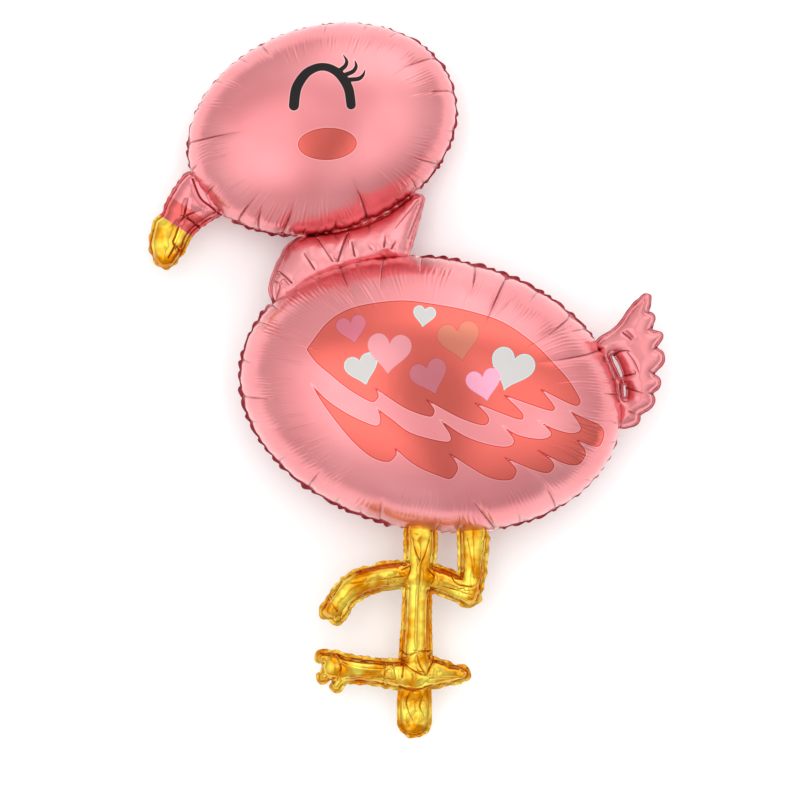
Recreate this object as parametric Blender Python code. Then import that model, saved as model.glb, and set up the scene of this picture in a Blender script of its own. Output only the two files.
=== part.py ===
# Flamingo foil balloon, filled and lying on its back.
# Two sheets of metallised film are welded along one seam, so the whole balloon is one closed piece.
# Metres, +Z up. +Y runs from the foot to the head, and the bird faces -X.

import math

import bmesh
import bpy
from mathutils import Matrix, Vector

# Body and head: oval cushions, measured over the welded seam. Tilts and bearings are in degrees.
BODY_LENGTH = 0.516
BODY_WIDTH = 0.367
BODY_THICKNESS = 0.215
BODY_TILT = -10.6
BODY_CENTRE = (0.0355, -0.0185)
HEAD_LENGTH = 0.365
HEAD_WIDTH = 0.272
HEAD_THICKNESS = 0.160
HEAD_TILT = 18.6
HEAD_BEARING = 112.3

# Welded seam. Each chamber's seam is a step thinner than the one it joins, so no two faces share a plane.
SEAM_WIDTH = 0.0055
SEAM_THICKNESS = 0.0018
SEAM_STEP = 0.00012

# Gathers of the film at the rim of the ovals
BODY_PUFFS = 24
HEAD_PUFFS = 18
PUFF_SEGMENTS = 4
PUCKER_DEPTH = 0.34
PUCKER_START = 0.70
PUCKER_FULL = 0.92

# The film's cross section, and the pressed flat that the balloon lies on, as a share of each oval
FOIL_POWER = 2.8
FLAT_SHARE = 0.30
RING_SHARES = (1.0, 0.965, 0.90, 0.78, 0.58, FLAT_SHARE)

# Neck: a band from the head's lower arc to the body's upper arc, from front to back
NECK_GAP = 0.043
NECK_HEAD_ARC = (-115.0, -61.5)
NECK_BODY_ARC = (153.5, 104.0)
NECK_BURIED = 0.008
NECK_THICKNESS = 0.046
NECK_FRONT_BULGE = 0.016
NECK_BACK_CORNER = 0.022
NECK_BEND_LENGTH = 0.110

# Tail: a fan with a frilled edge on the end of the body
TAIL_HEIGHT = 0.179
TAIL_ANCHOR = 18.4
TAIL_THICKNESS = 0.034

# Beak
BEAK_LENGTH = 0.094
BEAK_WIDTH = 0.061
BEAK_THICKNESS = 0.036
BEAK_ANCHOR = -166.1

# Legs and feet. A hip is placed by its distance to the right of the body's middle.
LEG_LENGTH = 0.184
LEG_WIDTH = 0.046
LEG_THICKNESS = 0.031
LEG_DROOP = 0.026
STANDING_HIP = -0.0145
FOLDED_HIP = 0.060
HIP_BURIED = 0.016
FRONT_TOE_LENGTH = 0.133
BACK_TOE_LENGTH = 0.066
TOE_TIP_SIZE = 0.019
TOE_TIP_SIDES = 8
TAB_LENGTH = 0.0816
TAB_WIDTH = 0.048
TAB_THICKNESS = 0.014

PINK_FOIL = {"colour": (0.86, 0.32, 0.34), "roughness": 0.24}
GOLD_FOIL = {"colour": (0.90, 0.58, 0.08), "roughness": 0.16}


def clear_scene():
    for obj in list(bpy.data.objects):
        bpy.data.objects.remove(obj, do_unlink=True)


def foil_material(name, foil):
    material = bpy.data.materials.new(name)
    material.use_nodes = True
    shader = material.node_tree.nodes["Principled BSDF"]
    shader.inputs["Base Color"].default_value = (*foil["colour"], 1.0)
    shader.inputs["Metallic"].default_value = 1.0
    shader.inputs["Roughness"].default_value = foil["roughness"]
    material.diffuse_color = (*foil["colour"], 1.0)
    return material


def eased(share):
    share = min(max(share, 0.0), 1.0)
    return share * share * (3.0 - 2.0 * share)


def seam_half(step):
    return (SEAM_THICKNESS - step * SEAM_STEP) / 2


def foil_profile(share):
    # Half the thickness of two flat sheets blown up along a common seam, from 1 in the middle to 0 at the seam
    return math.sqrt(max(0.0, 1.0 - abs(share) ** FOIL_POWER))


def round_profile(share):
    return math.sqrt(max(0.0, 1.0 - share * share))


class Oval:
    def __init__(self, centre, length, width, thickness, tilt, puffs):
        self.centre = Vector(centre)
        self.long_half = length / 2
        self.short_half = width / 2
        self.half_thickness = thickness / 2
        self.tilt = math.radians(tilt)
        self.puffs = puffs
        self.rest_height = self.half_thickness * foil_profile(FLAT_SHARE)

    def point(self, degrees, inset=0.0):
        return self.place(math.radians(degrees), 1.0, inset)

    def place(self, angle, share, inset):
        across = (self.long_half - inset) * share * math.cos(angle)
        along = (self.short_half - inset) * share * math.sin(angle)
        return self.centre + Matrix.Rotation(self.tilt, 2) @ Vector((across, along))

    def radius(self, bearing):
        angle = math.radians(bearing) - self.tilt
        return 1.0 / math.hypot(math.cos(angle) / self.long_half, math.sin(angle) / self.short_half)

    def below(self, offset):
        # The point of the lower outline that lies this far to the right of the centre
        outline = [self.point(degrees) for degrees in range(180, 361)]
        side = self.centre.x + offset
        return Vector((side, min(outline, key=lambda spot: abs(spot.x - side)).y))


def place_ovals():
    body = Oval(BODY_CENTRE, BODY_LENGTH, BODY_WIDTH, BODY_THICKNESS, BODY_TILT, BODY_PUFFS)
    head = Oval(BODY_CENTRE, HEAD_LENGTH, HEAD_WIDTH, HEAD_THICKNESS, HEAD_TILT, HEAD_PUFFS)
    bearing = math.radians(HEAD_BEARING)
    to_neck = body.radius(HEAD_BEARING) + NECK_GAP / 2
    to_head = to_neck + NECK_GAP / 2 + head.radius(HEAD_BEARING + 180.0)
    direction = Vector((math.cos(bearing), math.sin(bearing)))
    head.centre = body.centre + direction * to_head
    return body, head, body.centre + direction * to_neck


def grown_ring(bm, edges):
    grown = bmesh.ops.extrude_edge_only(bm, edges=edges)["geom"]
    ring = [item for item in grown if isinstance(item, bmesh.types.BMVert)]
    return ring, [item for item in grown if isinstance(item, bmesh.types.BMEdge)]


def fan_rings(bm, shares):
    # From the outline in bm, smaller and smaller rings around the origin, closed by a fan
    edges = list(bm.edges)
    last = 1.0
    for share in shares:
        ring, edges = grown_ring(bm, edges)
        bmesh.ops.scale(bm, verts=ring, vec=(share / last, share / last, 1.0))
        last = share
    ring, edges = grown_ring(bm, edges)
    bmesh.ops.pointmerge(bm, verts=ring, merge_co=(0.0, 0.0, 0.0))


def close_sheet(name, bm, flat_below=math.inf):
    # The sheet's z is the half thickness. Its copy becomes the underside.
    copy = bmesh.ops.extrude_face_region(bm, geom=list(bm.faces), use_keep_orig=True)["geom"]
    for item in copy:
        if isinstance(item, bmesh.types.BMVert):
            item.co.z = -min(item.co.z, flat_below)
    bmesh.ops.recalc_face_normals(bm, faces=bm.faces)
    mesh = bpy.data.meshes.new(name)
    bm.to_mesh(mesh)
    bm.free()
    return bpy.data.objects.new(name, mesh)


def cushion(name, oval):
    seam_ring = 1.1
    bm = bmesh.new()
    bmesh.ops.create_circle(bm, segments=oval.puffs * PUFF_SEGMENTS, radius=seam_ring)
    fan_rings(bm, [share / seam_ring for share in RING_SHARES])
    for vert in bm.verts:
        share = vert.co.xy.length
        angle = math.atan2(vert.co.y, vert.co.x)
        inset = 0.0 if share > 1.01 else SEAM_WIDTH
        share = min(share, 1.0)
        crease = max(0.0, math.cos(angle * oval.puffs))
        depth = PUCKER_DEPTH * eased((share - PUCKER_START) / (PUCKER_FULL - PUCKER_START))
        height = oval.half_thickness * foil_profile(share) * (1.0 - depth * crease)
        vert.co = (*oval.place(angle, share, inset), max(height, seam_half(0)))
    return close_sheet(name, bm, oval.rest_height)


def along(points, share):
    # A smooth curve through the points, by the Catmull-Rom rule
    place = share * (len(points) - 1)
    index = min(int(place), len(points) - 2)
    step = place - index
    before, start, end, after = (
        Vector(points[min(max(index + shift, 0), len(points) - 1)]) for shift in (-1, 0, 1, 2)
    )
    square = step * step
    cube = square * step
    return (
        start * (2 * cube - 3 * square + 1)
        + (end - before) / 2 * (cube - 2 * square + step)
        + end * (3 * square - 2 * cube)
        + (after - start) / 2 * (cube - square)
    )


def path_from(origin, shape, unit):
    return [(origin.x + x * unit, origin.y + y * unit, width) for x, y, width in shape]


def limb(name, points, width, thickness, stations, seam_step, round_start=False):
    # A tube with a seam on both sides. Points hold x, y and the share of the full width there.
    columns = (-1.0, -0.999, -0.80, -0.42, 0.0, 0.42, 0.80, 0.999, 1.0)
    last_column = len(columns) - 1
    narrowest = 0.25
    length = sum((Vector(b[:2]) - Vector(a[:2])).length for a, b in zip(points, points[1:]))
    end_round = 0.75 * width / length
    bm = bmesh.new()
    bmesh.ops.create_grid(bm, x_segments=stations, y_segments=last_column, size=1.0)
    for vert in bm.verts:
        share = (vert.co.x + 1.0) / 2
        index = round((vert.co.y + 1.0) / 2 * last_column)
        column = columns[index]
        spot = along(points, share)
        ahead = along(points, min(share + 0.01, 1.0)) - along(points, max(share - 0.01, 0.0))
        across = Vector((-ahead.y, ahead.x)).normalized()
        room = min(1.0 - share, share) if round_start else 1.0 - share
        taper = round_profile(1.0 - min(1.0, room / end_round))
        half = width / 2 * spot.z * max(taper, narrowest)
        tube_half = max(half - SEAM_WIDTH, half * narrowest)
        offset = math.copysign(half, column) if index in (0, last_column) else tube_half * column
        height = thickness / 2 * min(1.0, spot.z) * taper * round_profile(column)
        vert.co = (*(spot.xy + across * offset), max(height, seam_half(seam_step)))
    return close_sheet(name, bm)


def neck(body, head):
    stations = 18
    rows = (0.0, 0.12, 0.30, 0.50, 0.70, 0.88, 1.0)
    bm = bmesh.new()
    bmesh.ops.create_grid(bm, x_segments=stations, y_segments=len(rows) - 1, size=1.0)
    for vert in bm.verts:
        share = (vert.co.x + 1.0) / 2
        row = rows[round((vert.co.y + 1.0) / 2 * (len(rows) - 1))]
        upper = head.point(NECK_HEAD_ARC[0] + share * (NECK_HEAD_ARC[1] - NECK_HEAD_ARC[0]), NECK_BURIED)
        lower = body.point(NECK_BODY_ARC[0] + share * (NECK_BODY_ARC[1] - NECK_BODY_ARC[0]), NECK_BURIED)
        across = upper - lower
        crown = 1.0 - (2.0 * row - 1.0) ** 2
        front = NECK_FRONT_BULGE * crown * max(0.0, 1.0 - 4.0 * share)
        back = NECK_BACK_CORNER * row * (1.0 - row ** 6) * max(0.0, 4.0 * share - 3.0)
        waist = min(1.0, across.length / (1.6 * NECK_THICKNESS))
        height = NECK_THICKNESS / 2 * waist * foil_profile(2.0 * share - 1.0) * math.sqrt(max(0.0, crown))
        vert.co = (*(lower + across * row + Vector((back - front, 0.0))), max(height, seam_half(3)))
    return close_sheet("neck", bm)


def lobe(start, end, rise, steps):
    # A shallow arc from one notch of the frill to the next, without its last point
    chord = end - start
    outward = Vector((-chord.y, chord.x)).normalized()
    for step in range(steps):
        share = step / steps
        yield start + chord * share + outward * rise * math.sin(math.pi * share)


def tail(body):
    # Shares of the tail's height from its root: the front edge, the notches of the frill, and the buried edge
    front_edge = [(-0.21, 0.26), (-0.09, 0.405), (-0.03, 0.435), (0.04, 0.54)]
    notches = [(0.14, 0.665), (0.21, 0.555), (0.232, 0.42), (0.273, 0.288), (0.25, 0.085), (0.24, -0.07)]
    notches += [(0.14, -0.229), (0.0, -0.32)]
    rises = (0.042, 0.025, 0.055, 0.052, 0.034, 0.05, 0.03)
    buried_edge = [(0.0, -0.32), (-0.10, -0.25), (-0.14, 0.0)]
    middle = Vector((0.06, 0.12))
    seam_share = 0.86
    outline = [Vector(spot) for spot in front_edge]
    for start, end, rise in zip(notches, notches[1:], rises):
        outline += lobe(Vector(start), Vector(end), rise, 5)
    outline += [Vector(spot) for spot in buried_edge]
    bm = bmesh.new()
    rim = [bm.verts.new((*(spot - middle), 0.0)) for spot in outline]
    for last, vert in zip([rim[-1], *rim], rim):
        bm.edges.new((last, vert))
    longest = max(vert.co.length for vert in rim)
    edges = list(bm.edges)
    share_of = {vert: 1.0 for vert in rim}
    for share in (seam_share, 0.70, 0.42):
        last_share = min(share_of.values())
        inner, edges = grown_ring(bm, edges)
        bmesh.ops.scale(bm, verts=inner, vec=(share / last_share, share / last_share, 1.0))
        share_of.update((vert, share) for vert in inner)
    inner, edges = grown_ring(bm, edges)
    bmesh.ops.pointmerge(bm, verts=inner, merge_co=(0.0, 0.0, 0.0))
    root = body.point(TAIL_ANCHOR)
    for vert in bm.verts:
        narrow = min(1.0, 1.25 - 0.6 * vert.co.length / longest)
        height = TAIL_THICKNESS / 2 * round_profile(share_of.get(vert, 0.0) / seam_share) * narrow
        vert.co = (*(root + (vert.co.xy + middle) * TAIL_HEIGHT), max(height, seam_half(2)))
    return close_sheet("tail", bm)


def beak(head):
    # Shares of the beak's length from its root, with the share of its width
    shape = [(0.15, 0.20, 0.80), (-0.04, 0.02, 0.90), (-0.26, -0.22, 0.92), (-0.42, -0.45, 0.97)]
    shape += [(-0.50, -0.66, 0.99), (-0.54, -0.86, 0.93), (-0.54, -1.03, 0.86)]
    points = path_from(head.point(BEAK_ANCHOR), shape, BEAK_LENGTH)
    return limb("beak", points, BEAK_WIDTH, BEAK_THICKNESS, 12, 2)


def legs(body):
    # Places are shares of the leg's length from each hip. The folded shin crosses the standing leg.
    standing = body.below(STANDING_HIP)
    folded = body.below(FOLDED_HIP)
    ankle = standing + Vector((-0.026, -1.0)) * LEG_LENGTH
    crossing = standing + Vector((0.016, -0.275)) * LEG_LENGTH
    hip = [(0.0, HIP_BURIED / LEG_LENGTH, 0.78)]
    straight = hip + [(-0.003, -0.2, 0.80), (-0.02, -0.6, 0.78), (-0.026, -1.0, 0.84)]
    straight += [(-0.026, -1.0 - 0.35 * LEG_WIDTH / LEG_LENGTH, 0.84)]
    thigh = hip + [(0.0, 0.0, 0.78), (-0.020, -0.2, 0.78), (-0.045, -0.49, 0.80)]
    shin = [(0.40, -0.15, 0.86), (0.205, -0.069, 0.84), (0.0, 0.0, 0.84), (-0.18, -0.005, 0.86)]
    shin += [(-0.366, -0.047, 0.88), (-0.51, -0.112, 0.84), (-0.613, -0.234, 0.76), (-0.65, -0.35, 0.74)]
    front = [(0.06, 0.0, 0.86), (-0.3, 0.005, 0.84), (-0.6, 0.03, 0.84), (-0.90, 0.045, 0.98)]
    back = [(-0.1, 0.0, 0.86), (0.45, -0.005, 0.80), (0.92, 0.0, 0.76)]
    tab = [(0.0, -0.1, 1.0), (-0.03, -0.45, 0.94), (-0.04, -0.8, 0.86), (-0.04, -1.06, 0.80)]
    straight = path_from(standing, straight, LEG_LENGTH)
    thigh = path_from(folded, thigh, LEG_LENGTH)
    shin = path_from(crossing, shin, LEG_LENGTH)
    front = path_from(ankle, front, FRONT_TOE_LENGTH)
    back = path_from(ankle, back, BACK_TOE_LENGTH)
    tab = path_from(ankle, tab, TAB_LENGTH)
    solids = [
        limb("standing leg", straight, LEG_WIDTH, LEG_THICKNESS, 9, 1),
        limb("thigh", thigh, LEG_WIDTH, LEG_THICKNESS * 0.94, 7, 2),
        limb("shin", shin, LEG_WIDTH, LEG_THICKNESS * 0.88, 18, 4, round_start=True),
        limb("front toe", front, LEG_WIDTH, LEG_THICKNESS * 0.9, 9, 3),
        limb("back toe", back, LEG_WIDTH, LEG_THICKNESS * 0.8, 7, 5),
        limb("tab", tab, TAB_WIDTH, TAB_THICKNESS, 7, 6),
    ]
    # Three small tips at the end of each foot, in shares of the leg's width from the end of its toe
    tips = (
        (front, ((0.10, 0.38), (-0.11, 0.0), (0.18, -0.38))),
        (back, ((-0.15, 0.20), (0.02, 0.0), (-0.15, -0.22))),
        (shin, ((-0.17, 0.20), (-0.02, 0.0), (0.19, 0.02))),
    )
    for path, sides in tips:
        for side in sides:
            place = Vector(path[-1][:2]) + Vector(side) * LEG_WIDTH
            solids.append(toe_tip(f"toe tip {len(solids)}", place))
    return solids


def toe_tip(name, place):
    seam_share = 0.72
    bm = bmesh.new()
    bmesh.ops.create_circle(bm, segments=TOE_TIP_SIDES, radius=1.0)
    fan_rings(bm, (seam_share, 0.45))
    for vert in bm.verts:
        height = LEG_THICKNESS * 0.3 * round_profile(min(1.0, vert.co.xy.length / seam_share))
        vert.co = (*(place + vert.co.xy * TOE_TIP_SIZE / 2), max(height, seam_half(7)))
    return close_sheet(name, bm)


def united(name, solids, collection):
    # One solid out of the overlapping chambers
    first = solids[0]
    for other in solids[1:]:
        modifier = first.modifiers.new(other.name, "BOOLEAN")
        modifier.operation = "UNION"
        modifier.solver = "EXACT"
        modifier.material_mode = "TRANSFER"
        modifier.object = other
    bpy.context.view_layer.update()
    graph = bpy.context.evaluated_depsgraph_get()
    mesh = bpy.data.meshes.new_from_object(first.evaluated_get(graph))
    mesh.name = name
    for solid in solids:
        bpy.data.objects.remove(solid, do_unlink=True)
    result = bpy.data.objects.new(name, mesh)
    collection.objects.link(result)
    return result


def lay_down(obj, body, head, neck_middle):
    # The seam is level at the body, falls to the head across the neck, and droops along the legs
    hip_height = body.below(0.0).y
    front_end = body.centre.x - body.radius(180.0)
    bm = bmesh.new()
    bm.from_mesh(obj.data)
    bmesh.ops.triangulate(bm, faces=bm.faces)
    for vert in bm.verts:
        past_front = vert.co.x < front_end
        bend = 1.0 if past_front else eased((vert.co.y - neck_middle.y) / NECK_BEND_LENGTH + 0.5)
        droop = max(0.0, (hip_height - vert.co.y) / LEG_LENGTH) * LEG_DROOP
        vert.co.z += body.rest_height + (head.rest_height - body.rest_height) * bend - droop
    bm.to_mesh(obj.data)
    bm.free()


def stand_at_origin(obj):
    # The origin is the middle of the base of the balloon's box
    corners = [vert.co for vert in obj.data.vertices]
    middle_x = (min(co.x for co in corners) + max(co.x for co in corners)) / 2
    middle_y = (min(co.y for co in corners) + max(co.y for co in corners)) / 2
    obj.data.transform(Matrix.Translation((-middle_x, -middle_y, -min(co.z for co in corners))))


def main():
    clear_scene()
    collection = bpy.data.collections.new("flamingo_foil_balloon")
    bpy.context.scene.collection.children.link(collection)
    body, head, neck_middle = place_ovals()
    pink_parts = [cushion("body", body), cushion("head", head), neck(body, head), tail(body)]
    gold_parts = [beak(head), *legs(body)]
    pink = foil_material("pink_foil", PINK_FOIL)
    gold = foil_material("gold_foil", GOLD_FOIL)
    for solids, material in ((pink_parts, pink), (gold_parts, gold)):
        for solid in solids:
            collection.objects.link(solid)
            solid.data.materials.append(material)
    balloon = united("flamingo_balloon", pink_parts + gold_parts, collection)
    lay_down(balloon, body, head, neck_middle)
    stand_at_origin(balloon)
    balloon.data.shade_smooth()
    balloon.data.set_sharp_from_angle(angle=math.radians(50.0))


main()
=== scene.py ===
import math

import bmesh
import bpy
import numpy as np
from mathutils import Matrix, Vector


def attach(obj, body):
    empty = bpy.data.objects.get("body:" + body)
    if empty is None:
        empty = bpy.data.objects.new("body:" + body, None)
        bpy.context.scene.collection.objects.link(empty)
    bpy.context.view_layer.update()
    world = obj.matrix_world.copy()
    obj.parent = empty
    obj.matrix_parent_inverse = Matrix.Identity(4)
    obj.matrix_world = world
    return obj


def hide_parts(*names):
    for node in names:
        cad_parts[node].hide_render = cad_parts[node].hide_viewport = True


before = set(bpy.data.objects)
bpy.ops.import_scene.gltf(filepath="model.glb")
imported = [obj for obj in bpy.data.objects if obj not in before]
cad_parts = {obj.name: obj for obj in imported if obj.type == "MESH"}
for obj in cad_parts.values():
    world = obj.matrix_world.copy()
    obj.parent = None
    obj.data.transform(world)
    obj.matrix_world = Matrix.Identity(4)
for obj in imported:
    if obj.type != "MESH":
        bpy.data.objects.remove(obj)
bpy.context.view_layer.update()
print("frame loaded")

node = "flamingo_balloon"
metre = 1.32e-3  # one pixel of the photograph, at the height of the seam
filmHalf = 0.00012  # half the thickness of the two welded sheets
photoMiddle = (404.0, 380.0)  # the pixel over the frame's origin


def fromPhoto(spot):
    return ((spot[0] - photoMiddle[0]) * metre, (photoMiddle[1] - spot[1]) * metre)


camera = {"over": (400.0, 400.0), "frame": 800.0, "height": 4.1, "seam": 0.10}


def asSeen(points):
    # Where the camera sees each point against the plane of the seam, so that prints match the photograph
    middle = np.array(fromPhoto(camera["over"]))
    share = (camera["height"] - camera["seam"]) / (camera["height"] - points[:, 2])
    return middle + (points[:, :2] - middle) * share[:, None]


def eased(share):
    share = np.clip(share, 0.0, 1.0)
    return share * share * (3.0 - 2.0 * share)


def fadeIn(values, start, end):
    return eased((values - start) / (end - start))


# Where the balloon lies: the seam's height at any y, level at the body, lower at the head and along the legs
lie = {
    "bodyLevel": 0.1056, "headLevel": 0.0786, "neckY": 0.1851, "neckBend": 0.110,
    "hipY": -0.2037, "legLength": 0.184, "legDroop": 0.026, "frontEnd": -0.2184,
}


def seamLevel(x, y):
    bend = np.where(x < lie["frontEnd"], 1.0, eased((y - lie["neckY"]) / lie["neckBend"] + 0.5))
    droop = np.maximum(0.0, (lie["hipY"] - y) / lie["legLength"]) * lie["legDroop"]
    return lie["bodyLevel"] + (lie["headLevel"] - lie["bodyLevel"]) * bend - droop


def wander(along, length, waves, seed):
    # A smooth random line round a loop of that length, from about -1 to 1
    random = np.random.RandomState(seed)
    total = np.zeros_like(along)
    size = 0.0
    for wave in waves:
        height = random.uniform(0.5, 1.0)
        size += height * height
        total += height * np.cos(2 * math.pi * (wave * along / length + random.uniform()))
    return total / math.sqrt(size)


def newPiece(name, bm):
    mesh = bpy.data.meshes.new(name)
    bm.to_mesh(mesh)
    bm.free()
    piece = bpy.data.objects.new(name, mesh)
    bpy.context.scene.collection.objects.link(piece)
    return piece


def grownRing(bm, edges):
    grown = bmesh.ops.extrude_edge_only(bm, edges=edges)["geom"]
    ring = [item for item in grown if isinstance(item, bmesh.types.BMVert)]
    return ring, [item for item in grown if isinstance(item, bmesh.types.BMEdge)]


def pointsOf(mesh):
    points = np.empty(len(mesh.vertices) * 3)
    mesh.vertices.foreach_get("co", points)
    return points.reshape(-1, 3)


def setPoints(piece, points):
    piece.data.vertices.foreach_set("co", np.ascontiguousarray(points, np.float32).ravel())
    piece.data.update()


def addValues(piece, name, values):
    attribute = piece.data.attributes.new(name, "FLOAT", "POINT")
    attribute.data.foreach_set("value", np.ascontiguousarray(values, np.float32))


def finishPiece(piece, material):
    piece.data.materials.append(material)
    piece.data.shade_smooth()
    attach(piece, "root")
    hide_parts(node)
    print(piece.name, "made,", len(piece.data.polygons), "faces")


# Curves and distances in the plane, used by the prints and by the small chambers

def smoothPath(points, steps=8, closed=False):
    # Points of a smooth line through the given ones, by the Catmull-Rom rule
    points = np.array(points, float)
    count = len(points)
    made = []
    for index in range(count if closed else count - 1):
        picks = [index - 1, index, index + 1, index + 2]
        picks = [pick % count if closed else min(max(pick, 0), count - 1) for pick in picks]
        before, start, end, after = points[picks]
        for step in range(steps):
            t = step / steps
            made.append(
                start * (2 * t**3 - 3 * t**2 + 1)
                + (end - before) / 2 * (t**3 - 2 * t**2 + t)
                + end * (3 * t**2 - 2 * t**3)
                + (after - start) / 2 * (t**3 - t**2)
            )
    if not closed:
        made.append(points[-1])
    return np.array(made)


def segmentParts(spots, start, end):
    # How far along each segment a spot lies, from 0 to 1, and its distance
    run = end - start
    share = ((spots - start) @ run) / max(1e-12, run @ run)
    share = np.clip(share, 0.0, 1.0)
    return share, np.hypot(*(spots - start - share[:, None] * run).T)


def polylineDistance(spots, line):
    corners = [np.array(fromPhoto(corner)) for corner in line]
    return np.minimum.reduce([segmentParts(spots, start, end)[1] for start, end in zip(corners, corners[1:])])


def outlineDistance(spots, outline):
    # Distance to a closed outline, below zero inside it
    nearest = np.full(len(spots), 1e9)
    inside = np.zeros(len(spots), bool)
    for start, end in zip(outline, np.roll(outline, -1, axis=0)):
        nearest = np.minimum(nearest, segmentParts(spots, start, end)[1])
        crosses = (start[1] > spots[:, 1]) != (end[1] > spots[:, 1])
        if crosses.any():
            where = start[0] + (spots[:, 1] - start[1]) * (end[0] - start[0]) / (end[1] - start[1] + 1e-15)
            inside ^= crosses & (spots[:, 0] < where)
    return np.where(inside, -nearest, nearest)


def strokeDistance(spots, stroke):
    # Distance to a brush stroke of rows x, y and width, below zero inside it, and the stroke's half width there
    nearest = np.full(len(spots), 1e9)
    half = np.zeros(len(spots))
    for start, end in zip(stroke, stroke[1:]):
        share, away = segmentParts(spots, start[:2], end[:2])
        width = (start[2] + (end[2] - start[2]) * share) / 2
        closer = away - width < nearest
        nearest = np.where(closer, away - width, nearest)
        half = np.where(closer, width, half)
    return nearest, half


def photoStroke(points, steps=8):
    path = smoothPath(points, steps)
    spots = np.array([fromPhoto(spot) for spot in path])
    return np.column_stack([spots, path[:, 2] * metre])


def photoOutline(strokes, steps=8):
    # Smooth strokes that meet at corners, made one closed outline
    path = np.concatenate([smoothPath(stroke, steps)[:-1] for stroke in strokes])
    return np.array([fromPhoto(spot) for spot in path])


# Body and head: two sheets blown up along an oval seam, gathered where the rim has drawn in

foilPower = 2.8  # how full the cross section is: 2 is an ellipse

body = {
    "name": "body", "centre": (0.0355, -0.0185), "length": 0.516, "width": 0.367, "thickness": 0.215, "tilt": -10.6,
    "columns": 280, "rows": 200, "flange": 0.0055, "hidden": (0.97, -0.24), "flatShare": 0.30,
    "creaseGap": (0.028, 0.070), "creaseLength": (0.050, 0.150), "creaseDepth": (0.0010, 0.0034),
    "creaseWidth": 0.0070, "scallop": 0.0172, "ribCount": 224, "ribDepth": 0.00074, "ribStart": 0.066,
    "ribEnd": 0.118, "seed": 5,
    "joins": [
        [(277, 317), (295, 290), (318, 273), (345, 264), (385, 256), (409, 255)],
        [(603, 345), (612, 358), (618, 372), (623, 385), (624, 415), (621, 428)],
        [(400, 528), (425, 533), (455, 535), (492, 534)],
    ],
}
head = {
    "name": "head", "centre": (-0.1088, 0.3326), "length": 0.371, "width": 0.279, "thickness": 0.160, "tilt": 18.6,
    "columns": 276, "rows": 206, "flange": 0.0040, "hidden": (-0.50, 0.87), "flatShare": 0.30,
    "creaseGap": (0.024, 0.060), "creaseLength": (0.040, 0.115), "creaseDepth": (0.0009, 0.0030),
    "creaseWidth": 0.0060, "scallop": 0.0165, "ribCount": 170, "ribDepth": 0.00058, "ribStart": 0.050,
    "ribEnd": 0.088, "seed": 11,
    "joins": [
        [(300, 243), (330, 236), (345, 235), (375, 225), (400, 207), (415, 197)],
        [(190, 178), (200, 197), (222, 215)],
    ],
}


def crossSection(look):
    # The sheet's cut from the seam to the middle: distance run, share of the radius, share of the half thickness
    turn = np.linspace(0.0, math.pi / 2, 4000)
    share = np.cos(turn) ** (2 / foilPower)
    height = np.sin(turn)
    radius = (look["length"] + look["width"]) / 4
    steps = np.hypot(np.diff(share) * radius, np.diff(height) * look["thickness"] / 2)
    return np.concatenate([[0.0], np.cumsum(steps)]), share, height


def rowRun(total, fine, middle, coarse, fineEnd, ribEnd):
    # Distances from the seam at which rows lie, close together at the rim and wide apart in the middle
    rows = [0.0]
    while rows[-1] < total:
        place = rows[-1]
        step = fine + (middle - fine) * eased(place / fineEnd)
        step += (coarse - middle) * fadeIn(place, ribEnd, 1.8 * ribEnd)
        rows.append(place + float(step))
    return [row * total / rows[-1] for row in rows]


def scallopPhase(look, along, around):
    # Scallops counted along the rim, unevenly spaced
    count = round(around / look["scallop"])
    return count * along / around + 0.22 * wander(along, around, range(5, 40, 3), look["seed"] + 1)


def turned(look, x, y):
    lean = math.radians(look["tilt"])
    return x * math.cos(lean) - y * math.sin(lean), x * math.sin(lean) + y * math.cos(lean)


def gathers(look, along, around, inward):
    # How far the film is drawn in by long creases and rim scallops, and each point's nearest crease: its distance
    # along the rim, and its depth there, from 0 to 1
    random = np.random.RandomState(look["seed"])
    drawn = np.zeros_like(along)
    nearest = np.full(len(along), 0.012)
    depth = np.zeros_like(along)
    place = 0.0
    while place < around - look["creaseGap"][0]:
        size = random.uniform() ** 1.5
        length = look["creaseLength"][0] + size * (look["creaseLength"][1] - look["creaseLength"][0])
        deep = look["creaseDepth"][0] + size * (look["creaseDepth"][1] - look["creaseDepth"][0])
        lean = random.uniform(-0.16, 0.16)
        bow = random.uniform(-1.6, 1.6)
        width = look["creaseWidth"] * random.uniform(0.7, 1.4)
        off = (along - place - lean * inward - bow * inward**2 + around / 2) % around - around / 2
        reach = 1.0 - fadeIn(inward, 0.45 * length, length)
        drawn += deep * reach * np.exp(-np.abs(off) / width)
        closer = np.abs(off) < np.abs(nearest)
        nearest = np.where(closer, off, nearest)
        depth = np.where(closer, reach * (0.4 + 0.6 * deep / look["creaseDepth"][1]), depth)
        place += random.uniform(*look["creaseGap"])
    phase = scallopPhase(look, along, around)
    rimReach = fadeIn(inward, 0.0, 0.003) * (1.0 - fadeIn(inward, 0.008, 0.040))
    drawn += 0.0013 * rimReach * (1.0 - np.abs(np.sin(math.pi * phase)) ** 0.7)
    return drawn, nearest, depth * (1.0 - fadeIn(np.abs(nearest), 0.006, 0.011))


def ribZone(look, along, around, inward):
    # Where the fine ribs run, from about 0 to 1: a ragged band between the rim and the smooth middle
    strength = 0.66 + 0.55 * wander(along, around, range(2, 40, 3), look["seed"] + 3)
    reach = look["ribEnd"] * (0.95 + 0.16 * wander(along, around, range(9, 150, 9), look["seed"] + 4))
    rise = look["ribStart"] * (0.9 + 0.22 * wander(along, around, range(8, 120, 7), look["seed"] + 5))
    begins = fadeIn(inward, 0.75 * rise, 1.05 * rise)
    return np.clip(strength, 0.1, 1.3) * begins * (1.0 - fadeIn(inward, 0.6 * reach, reach))


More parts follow.
